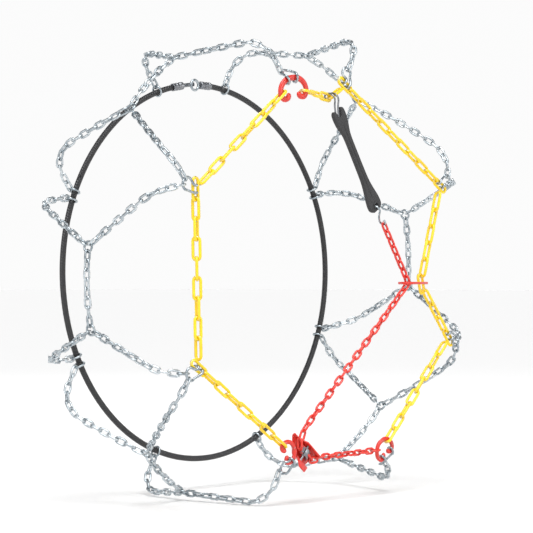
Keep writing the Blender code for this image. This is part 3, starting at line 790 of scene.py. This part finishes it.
def in_lock(along, across, height):
    """A point in the tightener: along its channel, across it, and up from its floor."""
    floor = on_face(*LOCK_CORNER, LOCK_FLOOR)
    return floor + LOCK_AXIS * along + LOCK_ACROSS * across + OUTWARD * height


LOCK_MIDDLE = in_lock(0.022, 0.0, LOCK_CHAIN)
S_HOOK_WIRE = 0.0028

stretch(
    "pull_chain_lower", "wheel_side",
    [
        on_face(0.0895, -0.2430), on_face(-0.0270, -0.2455), in_lock(0.037, 0.0, LOCK_CHAIN),
        LOCK_MIDDLE,
    ],
    ((0.5, -ROUND_CONNECTOR), HALF_SHORT), (UPRIGHT, UPRIGHT), PULL_MAKE,
)
stretch(
    "pull_chain_long", "wheel_side",
    [LOCK_MIDDLE, in_lock(0.004, -0.002, 0.0080), on_face(-0.0570, -0.2070), GUIDE_BEND, tail_fold],
    (HALF_SHORT, (0.5, PULL_WIRE / 2)), (FLAT, UPRIGHT), PULL_MAKE,
)
stretch(
    "pull_chain_end", "pull_tail", [tail_fold, strap_chain_end],
    ((0.5, -PULL_WIRE / 2), (0.5, -S_HOOK_WIRE / 2)), (FLAT, FLAT), PULL_MAKE,
)

# --------------------------------------------
# Tightener
# A channel folded from 2 mm steel sheet with one wing turned out, powder coated red. A sprung
# pawl on a riveted pin lets the pulling chain through one way and holds it the other way.
# --------------------------------------------

LOCK_SHEET = 0.0020
LOCK_FOLD = ((-0.0100, 0.0135), (-0.0100, 0.0), (0.0100, 0.0), (0.0125, 0.0100), (0.0225, 0.0130))
LOCK_ENDS = ((0.0, 0.80), (0.040, -0.43))
LOCK_CUTS = (0.0, 0.22, 0.36, 1.0)
# The sheet's bend radius, and the low rim that the chain runs out over, which clears the bend
FOLD_RADIUS, CHAIN_SILL = 0.0022, 0.0030
CREASE = radians(40)


def bevel(bm, edges, offset, segments):
    bmesh.ops.bevel(
        bm, geom=edges, affect="EDGES", offset=offset, segments=segments, profile=0.5, material=-1
    )


def lock_spot(share, across, height):
    """A point of the sheet at a share of the way between its two slanted ends."""
    (start, start_slant), (stop, stop_slant) = LOCK_ENDS
    first, last = start + start_slant * across, stop + stop_slant * across
    return in_lock(first + (last - first) * share, across, height)


bm = bmesh.new()
row = [bm.verts.new(lock_spot(0.0, a, b)) for a, b in LOCK_FOLD]
edges = [bm.edges.new(pair) for pair in zip(row, row[1:])]
bends = []
for cut in LOCK_CUTS[1:]:
    moved, edges = pull_edges(bm, edges)
    ahead = [min(moved, key=lambda v: (v.co - spot.co).length) for spot in row]
    for v, (a, b) in zip(ahead, LOCK_FOLD):
        v.co = lock_spot(cut, a, b)
    bends += [bm.edges.get(pair) for pair in list(zip(row, ahead))[1:-1]]
    if cut == LOCK_CUTS[1]:
        low_rim = [row[0], ahead[0]]
    row = ahead
for v in low_rim:
    v.co += OUTWARD * (CHAIN_SILL - LOCK_FOLD[0][1])
bevel(bm, bends, FOLD_RADIUS, 4)
bmesh.ops.recalc_face_normals(bm, faces=bm.faces)
if sum(f.normal.y * f.calc_area() for f in bm.faces) < 0:
    bmesh.ops.reverse_faces(bm, faces=bm.faces)
bm.normal_update()
back_skin = {v.co.to_tuple(6): v.normal * v.calc_shell_factor() * LOCK_SHEET for v in bm.verts}
pushed = bmesh.ops.extrude_face_region(bm, geom=list(bm.faces))["geom"]
for v in only(BMVert, pushed):
    v.co += back_skin[v.co.to_tuple(6)]
bmesh.ops.recalc_face_normals(bm, faces=bm.faces)
rims = [e for e in bm.edges if len(e.link_faces) == 2 and e.calc_face_angle() > radians(60)]
bevel(bm, rims, 0.0005, 2)
housing = keep(bm, "lock_housing", RED_COAT)
housing.data.set_sharp_from_angle(angle=CREASE)
wear(housing, [in_lock(-0.003, -0.010, CHAIN_SILL), in_lock(0.040, 0.0, 0.002)], reach=0.007)
stand_in(housing, "lock_housing", "wheel_side")

DARK_STEEL = zinc_plate("plain_zinc_steel", "A4A6AA", "7C7F84", (0.28, 0.48))
PAWL_PIVOT = joint_place("lock_pawl_lifts")


def turned(name, profile, place, direction, finish, steps=24):
    """A part turned about its own axis: profile gives (distance along it, radius)."""
    bm = bmesh.new()
    line = [bm.verts.new((radius, 0, along)) for along, radius in profile]
    edges = [bm.edges.new(pair) for pair in zip(line, line[1:])]
    bmesh.ops.spin(
        bm, geom=edges, cent=(0, 0, 0), axis=(0, 0, 1), angle=2 * pi, steps=steps, use_merge=True
    )
    bmesh.ops.remove_doubles(bm, verts=bm.verts, dist=0.00002)
    turn = direction.to_track_quat("Z", "Y").to_matrix().to_4x4()
    bmesh.ops.transform(bm, matrix=Matrix.Translation(place) @ turn, verts=bm.verts)
    bmesh.ops.recalc_face_normals(bm, faces=bm.faces)
    piece = keep(bm, name, finish)
    piece.data.set_sharp_from_angle(angle=CREASE)
    return piece


RIVET = (
    (-0.0136, 0.0), (-0.0136, 0.0018), (-0.0130, 0.0026), (-0.0121, 0.0028), (-0.0121, 0.0015),
    (0.0146, 0.0015), (0.0146, 0.0019), (0.0152, 0.0017), (0.0155, 0.0010), (0.0155, 0.0),
)
rivet = turned("lock_pin", RIVET, PAWL_PIVOT, LOCK_ACROSS, DARK_STEEL)
stand_in(rivet, "lock_pin", "wheel_side")

PAWL_HALF = 0.0055
PAWL_PROFILE = (
    (-0.0022, -0.0010), (-0.0012, 0.0026), (0.0030, 0.0034), (0.0085, 0.0014), (0.0122, -0.0036),
    (0.0108, -0.0030), (0.0100, -0.0052), (0.0086, -0.0030), (0.0074, -0.0046), (0.0062, -0.0018),
    (0.0016, -0.0024),
)
bm = bmesh.new()
corners = [
    bm.verts.new(PAWL_PIVOT - LOCK_ACROSS * PAWL_HALF + LOCK_AXIS * a + OUTWARD * b)
    for a, b in PAWL_PROFILE
]
side = bm.faces.new(corners)
pushed = bmesh.ops.extrude_face_region(bm, geom=[side])["geom"]
bmesh.ops.translate(bm, verts=only(BMVert, pushed), vec=LOCK_ACROSS * 2 * PAWL_HALF)
bmesh.ops.recalc_face_normals(bm, faces=bm.faces)
bevel(bm, list(bm.edges), 0.0003, 2)
pawl = keep(bm, "lock_pawl", DARK_STEEL)
pawl.data.set_sharp_from_angle(angle=CREASE)
stand_in(pawl, "lock_pawl", "lock_pawl")

SPRING_TURNS, SPRING_STEPS = 7, 14
SPRING_HALF, SPRING_RADIUS, SPRING_WIRE = 0.0045, 0.0021, 0.0008
spring_seat = PAWL_PIVOT - LOCK_AXIS * 0.0048
coil = [
    spring_seat
    + LOCK_ACROSS * SPRING_HALF * (2 * k / (SPRING_TURNS * SPRING_STEPS) - 1)
    + LOCK_AXIS * SPRING_RADIUS * cos(2 * pi * k / SPRING_STEPS)
    + OUTWARD * SPRING_RADIUS * sin(2 * pi * k / SPRING_STEPS)
    for k in range(SPRING_TURNS * SPRING_STEPS + 1)
]
# The wire's two ends: one presses on the pawl and the other stands on the floor
coil.append(coil[-1] + LOCK_AXIS * 0.0040 + OUTWARD * 0.0006)
coil.insert(0, coil[0] - OUTWARD * 0.0035)
bm = bmesh.new()
bend_bar(bm, coil, SPRING_WIRE, SPRING_WIRE, LOCK_ACROSS, 6)
spring = keep(bm, "lock_spring", ZINC)
stand_in(spring, "lock_spring", "wheel_side")

# --------------------------------------------
# Guide hook
# A slim double hook of flat bar, powder coated red. The pulling chain slides through its curl,
# and its outer end holds the side chain.
# --------------------------------------------

GUIDE_WIDTH, GUIDE_DEPTH = 0.0034, 0.0036
reach, rise = kink_side.x - GUIDE_BEND.x, abs(GUIDE_BEND.y - kink_side.y)
curl_and_shank = [
    (0.0015, -0.0086), (-0.0035, -0.0098), (-0.0102, -0.0078), (-0.0131, 0.0), (-0.0102, 0.0078),
    (-0.0020, 0.0098), (reach * 0.5, 0.0056), (reach * 0.85, 0.0010), (reach + 0.0030, -0.0022),
    (reach + 0.0064, -0.0070), (reach + 0.0060, -rise - 0.0020), (reach + 0.0015, -rise - 0.0060),
    (reach - 0.0025, -rise - 0.0050),
]
spots = [GUIDE_BEND + Vector((a, -b, 0)) for a, b in curl_and_shank]
bm = bmesh.new()
bend_bar(
    bm, curve_through(spots, 5), GUIDE_WIDTH, GUIDE_DEPTH, Vector((0, 0, 1)), 12, 3.5, 0.05
)
guide = keep(bm, "guide_hook", RED_COAT)
wear(guide, [spots[3], spots[-2]], reach=0.008)
stand_in(guide, "guide_hook", "guide_hook")

# --------------------------------------------
# Rubber strap
# A moulded black rubber tensioner, broad at both ends and slim between, with an eye at the
# foot for the S-hook and a forked head in which the steel hook is moulded.
# --------------------------------------------

strap_foot = joint_place("strap_turns")
strap_head = on_face(0.008, 0.214)
STRAP_AXIS = (strap_head - strap_foot).normalized()
STRAP_ACROSS = STRAP_AXIS.cross(INBOARD)
STRAP_HALF_THICK = 0.0030
# The eye's place along the strap from its foot, and its radius
EYE_ALONG, EYE_RADIUS = 0.0070, 0.0034
# Moulded relief on both faces: a bead round the eye and a rib along the middle
BEAD_REACH, BEAD_RADIUS = 0.0048, 0.0009
RIB_STATIONS, RIB_WIDTH, RIB_HEIGHT = (0.0200, 0.0500, 0.0950, 0.1320), 0.0032, 0.0018
STRAP_SIDE = (
    (0.0000, 0.0070), (0.0030, 0.0105), (0.0080, 0.0124), (0.0180, 0.0116), (0.0320, 0.0085),
    (0.0480, 0.0061), (0.0800, 0.0056), (0.1120, 0.0057), (0.1240, 0.0078), (0.1340, 0.0108),
    (0.1440, 0.0119), (0.1520, 0.0112), (0.1552, 0.0085), (0.1545, 0.0055), (0.1500, 0.0040),
    (0.1455, 0.0026), (0.1440, 0.0),
)


def matt_rubber():
    """Moulded rubber: near black, chalky where handled, with a 0.4 mm moulding grain."""
    made, tree, shader = start_material("moulded_rubber")
    place = add_node(tree, "ShaderNodeTexCoord", {}, {}).outputs["Object"]
    bloom = add_node(tree, "ShaderNodeTexNoise", {"Scale": 90.0, "Detail": 4.0}, {"Vector": place})
    grain = add_node(tree, "ShaderNodeTexNoise", {"Scale": 1300.0, "Detail": 2.0}, {"Vector": place})
    colour = add_node(
        tree, "ShaderNodeMixRGB", {"Color1": linear("1E1E1F"), "Color2": linear("38383A")},
        {"Fac": bloom},
    )
    gloss = add_node(
        tree, "ShaderNodeMapRange", {"To Min": 0.48, "To Max": 0.72}, {"Value": bloom}
    )
    bump = add_node(
        tree, "ShaderNodeBump", {"Strength": 0.3, "Distance": 0.0002},
        {"Height": grain},
    )
    feed_shader(tree, shader, colour, gloss, bump)
    shader.inputs["IOR"].default_value = 1.52
    return made


bm = bmesh.new()
half = curve_through([Vector((a, b, 0)) for a, b in STRAP_SIDE], 4)
outline = half + [Vector((p.x, -p.y, 0)) for p in reversed(half[:-1])]
verts = [bm.verts.new(p) for p in outline]
edges = [bm.edges.new(pair) for pair in zip(verts, verts[1:] + verts[:1])]
eye = bmesh.ops.create_circle(
    bm, segments=24, radius=EYE_RADIUS, matrix=Matrix.Translation((EYE_ALONG, 0, 0))
)["verts"]
edges += edges_at(eye)
bmesh.ops.triangle_fill(bm, use_beauty=True, use_dissolve=False, edges=edges)
bmesh.ops.translate(bm, verts=bm.verts, vec=(0, 0, -STRAP_HALF_THICK))
pushed = bmesh.ops.extrude_face_region(bm, geom=list(bm.faces))["geom"]
bmesh.ops.translate(bm, verts=only(BMVert, pushed), vec=(0, 0, 2 * STRAP_HALF_THICK))
bmesh.ops.recalc_face_normals(bm, faces=bm.faces)
rims = [e for e in bm.edges if len(e.link_faces) == 2 and e.calc_face_angle() > radians(75)]
bevel(bm, rims, 0.0011, 3)
for face_side in (1, -1):
    bead = bmesh.ops.create_circle(
        bm, segments=10, radius=BEAD_RADIUS,
        matrix=Matrix.Translation((EYE_ALONG + BEAD_REACH, 0, face_side * STRAP_HALF_THICK))
        @ Matrix.Rotation(pi / 2, 4, "X"),
    )["verts"]
    bmesh.ops.spin(
        bm, geom=edges_at(bead), cent=(EYE_ALONG, 0, 0), axis=(0, 0, 1), angle=2 * pi, steps=28,
        use_merge=True,
    )
    rib = curve_through([Vector((a, 0, face_side * STRAP_HALF_THICK)) for a in RIB_STATIONS], 6)
    bend_bar(bm, rib, RIB_WIDTH, RIB_HEIGHT, Vector((0, 0, 1)), 12, taper=0.08)
place = axes_at(STRAP_AXIS, STRAP_ACROSS, STRAP_AXIS.cross(STRAP_ACROSS), strap_foot)
bmesh.ops.transform(bm, matrix=place, verts=bm.verts)
bmesh.ops.recalc_face_normals(bm, faces=bm.faces)
strap = keep(bm, "rubber_strap", matt_rubber())
strap.data.set_sharp_from_angle(angle=radians(50))
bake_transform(strap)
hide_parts("rubber_strap")

# --------------------------------------------
# S-hook and strap hook
# The S-hook, bent from 2.8 mm zinc-plated wire, joins the pulling chain to the strap's eye. The
# strap hook is a loop of 2.6 mm wire moulded into the fork, and it pulls in the side chain.
# --------------------------------------------

s_axis = (strap_foot - strap_chain_end).normalized()
eye_centre = (strap_foot - strap_chain_end).length + EYE_ALONG
s_curve = [
    (0.0078, 0.0034), (0.0046, 0.0044), (0.0010, 0.0028), (0.0, -0.0002),
    (0.0016, -0.0036), (0.0060, -0.0044), (eye_centre * 0.42, -0.0014), (eye_centre * 0.62, 0.0030),
    (eye_centre - 0.0080, 0.0058), (eye_centre - 0.0030, 0.0058), (eye_centre, 0.0018),
    (eye_centre, -0.0028), (eye_centre - 0.0030, -0.0058),
]
spots = [strap_chain_end + s_axis * a + OUTWARD * c for a, c in s_curve]
bm = bmesh.new()
bend_bar(bm, curve_through(spots, 5), S_HOOK_WIRE, S_HOOK_WIRE, s_axis.cross(OUTWARD), 10, taper=0.04)
s_hook = keep(bm, "s_hook", ZINC)
stand_in(s_hook, "s_hook", "s_hook")

STRAP_HOOK_WIRE = 0.0026
hook_axis = (on_face(kink_top.x, kink_top.z) - strap_head).normalized()
hook_across = hook_axis.cross(OUTWARD)
half_loop = [
    (-0.0130, -0.0022, 0.0), (-0.0060, -0.0026, 0.0), (0.0060, -0.0034, 0.0), (0.0150, -0.0036, 0.0014),
    (0.0212, -0.0036, -0.0030), (0.0232, -0.0036, -0.0100), (0.0205, -0.0034, -0.0160),
    (0.0165, -0.0020, -0.0172), (0.0158, 0.0, -0.0173),
]
loop = half_loop + [(a, -b, c) for a, b, c in reversed(half_loop[:-1])]
spots = [strap_head + hook_axis * a + hook_across * b + OUTWARD * c for a, b, c in loop]
bm = bmesh.new()
bend_bar(bm, curve_through(spots, 4), STRAP_HOOK_WIRE, STRAP_HOOK_WIRE, hook_across, 10)
strap_hook = keep(bm, "strap_hook", DARK_STEEL)
stand_in(strap_hook, "strap_hook", "strap_hook")

# --------------------------------------------
# Cable hoop
# A spring-steel cable in a black plastic sheath that lies behind the tyre and holds the net's
# inner ends. Its two ends are crimped in ferrules, one with a hook and the other with an eye.
# --------------------------------------------

# The cable's thickness, and the length in which its strands go round once
HOOP_CABLE, CABLE_LAY, STRANDS = 0.0080, 0.0220, 6
# Degrees of the hoop: between stations, and on each side of a fold that bends
CABLE_STEP, FOLD_SPREAD, END_SPREAD = 1.7, 3.4, 2.0


def sheathed_cable():
    """Plastic sheath shrunk on a stranded cable: satin black, with the strands' lay showing as
    low spiral ridges and scuffs of about 3 mm."""
    made, tree, shader = start_material("plastic_cable_sheath")
    place = add_node(tree, "ShaderNodeTexCoord", {}, {}).outputs["Object"]
    lay = add_node(tree, "ShaderNodeAttribute", {"attribute_name": "lay"}, {}).outputs["Fac"]
    scuff = add_node(tree, "ShaderNodeTexNoise", {"Scale": 330.0, "Detail": 4.0}, {"Vector": place})
    turn = add_node(tree, "ShaderNodeMath", {"operation": "MULTIPLY", 1: 2 * pi}, {0: lay})
    ridge = add_node(tree, "ShaderNodeMath", {"operation": "SINE"}, {0: turn})
    colour = add_node(
        tree, "ShaderNodeMixRGB", {"Color1": linear("151517"), "Color2": linear("2D2D30")},
        {"Fac": scuff},
    )
    gloss = add_node(
        tree, "ShaderNodeMapRange", {"To Min": 0.28, "To Max": 0.55}, {"Value": scuff}
    )
    bump = add_node(
        tree, "ShaderNodeBump", {"Strength": 0.7, "Distance": 0.0004}, {"Height": ridge}
    )
    feed_shader(tree, shader, colour, gloss, bump)
    shader.inputs["IOR"].default_value = 1.54
    return made


SHEATH = sheathed_cable()


def hoop_cable(name, start, end):
    """A stretch of the cable hoop between two angles."""
    steps = max(6, ceil(abs(end - start) / CABLE_STEP))
    spots = [
        polar(start + (end - start) * k / steps, HOOP_RADIUS, SIDE_PLANE) for k in range(steps + 1)
    ]
    bm = bmesh.new()
    bend_bar(bm, spots, HOOP_CABLE, HOOP_CABLE, INBOARD, 12)
    piece = keep(bm, name, SHEATH)
    layer = piece.data.attributes.new("lay", "FLOAT", "POINT")
    values = []
    for v in piece.data.vertices:
        out = sqrt(v.co.x**2 + v.co.z**2) - HOOP_RADIUS
        turn = Vector((v.co.x, v.co.z)).angle_signed(Vector((0, -1)))
        ridge = Vector((out, v.co.y - SIDE_PLANE)).angle_signed(Vector((1, 0)))
        values.append(STRANDS * (turn * HOOP_RADIUS / CABLE_LAY + ridge / (2 * pi)))
    layer.data.foreach_set("value", values)
    return piece


def hoop_fold(tie, side):
    """Where the hoop folds beside a tie."""
    return TIES[tie][0] + side * SIDE_PITCH / 2 / HOOP_RADIUS * 180 / pi


HOOP_FOLDS = [
    ("upper_left_net", "left_net", hoop_fold("left", -1), FOLD_SPREAD),
    ("left_net", "lower_left_net", hoop_fold("lower_left", -1), FOLD_SPREAD),
    ("lower_left_net", "wheel_side", hoop_fold("bottom_left", -1), FOLD_SPREAD),
    ("wheel_side", "hoop_end", hoop_fold("upper_right", 1), END_SPREAD),
]
# Degrees: each crimped sleeve from its cable end to its tip, and how far the cable goes in
LEFT_CRIMP, RIGHT_CRIMP, IN_SLEEVE = (103.2, 98.8), (86.8, 91.1), 0.3
bends = [(fold - spread, fold + spread) for _, _, fold, spread in HOOP_FOLDS]
starts = [LEFT_CRIMP[0] - IN_SLEEVE, *[end for _, end in bends]]
stops = [*[start for start, _ in bends], RIGHT_CRIMP[0] + 360 + IN_SLEEVE]
names = ("hoop_upper_left", "hoop_left", "hoop_lower_left", "hoop_right", "hoop_top")
bodies = [body for body, _, _, _ in HOOP_FOLDS] + ["hoop_end"]
for name, body, start, stop in zip(names, bodies, starts, stops):
    cable = hoop_cable(name, start, stop)
    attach(cable, body)
    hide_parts(name)
for (body, following, _, _), (start, stop) in zip(HOOP_FOLDS, bends):
    cable = hoop_cable(f"hoop_bend_{following}", start, stop)
    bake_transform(cable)

CRIMPED_SLEEVE = (
    (0.0, 0.0), (0.0, 0.0048), (0.0006, 0.0054), (0.0035, 0.0055), (0.0045, 0.0047), (0.0062, 0.0047),
    (0.0072, 0.0055), (0.0095, 0.0055), (0.0105, 0.0047), (0.0122, 0.0047), (0.0132, 0.0055),
    (0.0192, 0.0055), (0.0199, 0.0048), (0.0199, 0.0),
)
for name, body, (start, end) in (
    ("hoop_ferrule_left", "upper_left_net", LEFT_CRIMP),
    ("hoop_ferrule_right", "hoop_end", RIGHT_CRIMP),
):
    first, last = polar(start, HOOP_RADIUS, SIDE_PLANE), polar(end, HOOP_RADIUS, SIDE_PLANE)
    sleeve = turned(name, CRIMPED_SLEEVE, first, last - first, DARK_STEEL)
    stand_in(sleeve, name, body)

COUPLING_ANGLE, COUPLING_RADIUS, COUPLING_WIRE = 93.4, 0.0072, 0.0036
eye_place = polar(COUPLING_ANGLE, HOOP_RADIUS, SIDE_PLANE)
hoop_eye = ring("hoop_eye", eye_place, INBOARD, COUPLING_RADIUS, COUPLING_WIRE, 10, 28)
stand_in(hoop_eye, "hoop_eye", "hoop_end")

root_angle = LEFT_CRIMP[1] - 0.2
along = polar(root_angle - 90, 1.0)
shank = [
    (-0.0030, 0.0), (0.0035, 0.0004), (0.0075, 0.0036), (0.0120, 0.0060), (0.0200, 0.0062),
    (0.0270, 0.0062), (0.0290, 0.0075),
]
spots = [polar(root_angle, HOOP_RADIUS, SIDE_PLANE) + along * a + INBOARD * b for a, b in shank]
bm = bmesh.new()
bend_bar(bm, curve_through(spots, 4), 0.0032, 0.0056, polar(root_angle, 1.0), 12, 3.5, 0.08)
hoop_hook = keep(bm, "hoop_hook", DARK_STEEL)
stand_in(hoop_hook, "hoop_hook", "upper_left_net")

# --------------------------------------------
# Studio
# A pale floor under a pale dome that darkens towards its top, so that the wire's reflections
# have an edge, with one high soft key light, a fill and a rim light.
# --------------------------------------------

low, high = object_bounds()
bm = bmesh.new()
bmesh.ops.create_grid(bm, x_segments=1, y_segments=1, size=60.0)
bmesh.ops.translate(bm, verts=bm.verts, vec=(0, 0, low[2] - 0.0005))
floor_paint, floor_tree, floor_shader = start_material("pale_floor")
floor_shader.inputs["Base Color"].default_value = linear("EDEDED")
floor_shader.inputs["Roughness"].default_value = 1.0
floor_shader.inputs["Specular IOR Level"].default_value = 0.0
floor = keep(bm, "studio_floor", floor_paint)

world = bpy.data.worlds.new("pale_dome")
bpy.context.scene.world = world
world.use_nodes = True
dome = world.node_tree
direction = add_node(dome, "ShaderNodeTexCoord", {}, {}).outputs["Generated"]
height = add_node(dome, "ShaderNodeSeparateXYZ", {}, {"Vector": direction}).outputs["Z"]
shade = add_node(
    dome, "ShaderNodeMapRange", {"From Min": 0.14, "From Max": 0.70, "To Min": 0.97, "To Max": 0.15},
    {"Value": height},
)
backdrop = dome.nodes["Background"]
dome.links.new(shade.outputs[0], backdrop.inputs["Color"])


def soft_light(name, kind, energy, place, size):
    """A white light that faces the object; size is a sun's angle or a lamp's side."""
    lamp = bpy.data.lights.new(name, kind)
    lamp.energy = energy
    if kind == "SUN":
        lamp.angle = size
    else:
        lamp.shape = "SQUARE"
        lamp.size = size
    light = bpy.data.objects.new(name, lamp)
    light.location = place
    light.rotation_euler = (-Vector(place)).to_track_quat("-Z", "Y").to_euler()
    bpy.context.scene.collection.objects.link(light)


soft_light("high_sun", "SUN", 2.75, (-0.8, -1.0, 3.0), radians(40))
soft_light("left_key", "AREA", 20.0, (-2.4, -1.2, 1.6), 0.9)
soft_light("right_fill", "AREA", 11.0, (1.2, -2.6, 0.9), 0.7)
soft_light("rim", "AREA", 12.0, (1.6, 2.4, 1.8), 0.8)

CAMERA_AZIMUTH, CAMERA_ELEVATION = radians(-47.2), radians(-0.43)
CAMERA_DISTANCE = 2.873
lens = bpy.data.cameras.new("camera")
lens.sensor_width = 36.0
lens.lens = 142.0
lens.clip_end = 300.0
camera = bpy.data.objects.new("camera", lens)
aim = Vector((low[k] + high[k] for k in range(3))) / 2
back = Vector((
    sin(CAMERA_AZIMUTH) * cos(CAMERA_ELEVATION),
    -cos(CAMERA_AZIMUTH) * cos(CAMERA_ELEVATION),
    sin(CAMERA_ELEVATION),
))
camera.location = aim + back * CAMERA_DISTANCE
camera.rotation_euler = back.to_track_quat("Z", "Y").to_euler()
bpy.context.scene.collection.objects.link(camera)
bpy.context.scene.camera = camera
bpy.context.scene.view_settings.view_transform = "Standard"
